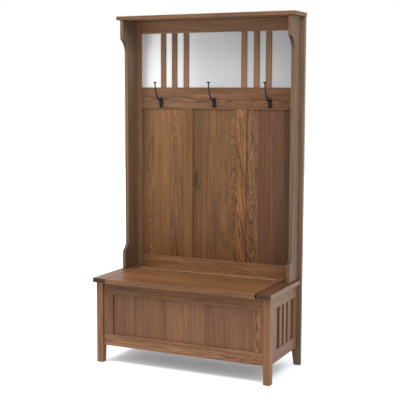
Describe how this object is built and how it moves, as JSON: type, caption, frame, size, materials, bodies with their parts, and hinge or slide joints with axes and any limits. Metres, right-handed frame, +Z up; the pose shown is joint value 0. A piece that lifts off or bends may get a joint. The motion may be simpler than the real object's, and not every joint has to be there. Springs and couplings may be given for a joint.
{
  "type": "hall tree",
  "caption": "Free-standing hall tree: a bench over a lidded storage chest, a tall panelled back with a slatted mirror, and a rail of coat hooks.",
  "frame": {"origin": "on the floor, under the middle of the bounding box", "axes": "+X to the right seen from the front, +Y towards the back, +Z up"},
  "size_m": [1.016, 0.457, 1.829],
  "materials": {
    "oak": "stained medium brown oak, satin lacquer",
    "plywood": "unfinished plywood or hardboard inside and behind",
    "mirror": "silvered flat glass",
    "bronze": "oil-rubbed dark bronze",
    "brass": "satin brass"
  },
  "bodies": {
    "carcass": {"back_bottom_rail": "oak", "back_muntin_left": "oak", "back_muntin_right": "oak", "back_panel_centre": "oak", "back_panel_left": "oak", "back_panel_right": "oak", "back_top_rail": "oak", "chest_back": "plywood", "chest_bottom": "plywood", "coat_hook_centre": "bronze", "coat_hook_left": "bronze", "coat_hook_right": "bronze", "crown_board": "oak", "front_bottom_rail": "oak", "front_leg_left": "oak", "front_leg_right": "oak", "front_panel": "oak", "front_stile_left": "oak", "front_stile_right": "oak", "front_top_rail": "oak", "hinge_leaf_fixed": "brass", "hinge_pin": "brass", "hinge_strip": "oak", "hook_rail": "oak", "mirror_backing": "plywood", "mirror_glass": "mirror", "mirror_slat_left_1": "oak", "mirror_slat_left_2": "oak", "mirror_slat_left_3": "oak", "mirror_slat_right_1": "oak", "mirror_slat_right_2": "oak", "mirror_slat_right_3": "oak", "rear_post_left": "oak", "rear_post_right": "oak", "seat_end_board_left": "oak", "seat_end_board_right": "oak", "side_board_left": "oak", "side_board_right": "oak", "side_bottom_rail_left": "oak", "side_bottom_rail_right": "oak", "side_front_stile_left": "oak", "side_front_stile_right": "oak", "side_panel_left": "oak", "side_panel_right": "oak", "side_rear_stile_left": "oak", "side_rear_stile_right": "oak", "side_slat_left_1": "oak", "side_slat_left_2": "oak", "side_slat_left_3": "oak", "side_slat_right_1": "oak", "side_slat_right_2": "oak", "side_slat_right_3": "oak", "side_top_rail_left": "oak", "side_top_rail_right": "oak"},
    "lid": {"seat_lid": "oak", "hinge_leaf_lid": "brass"}
  },
  "joints": [
    {"name": "lid_hinge", "type": "hinge", "parent": "carcass", "child": "lid", "pos_m": [0, 0.1285, 0.4594], "axis": [-1, 0, 0], "range_deg": [0, 102]}
  ]
}
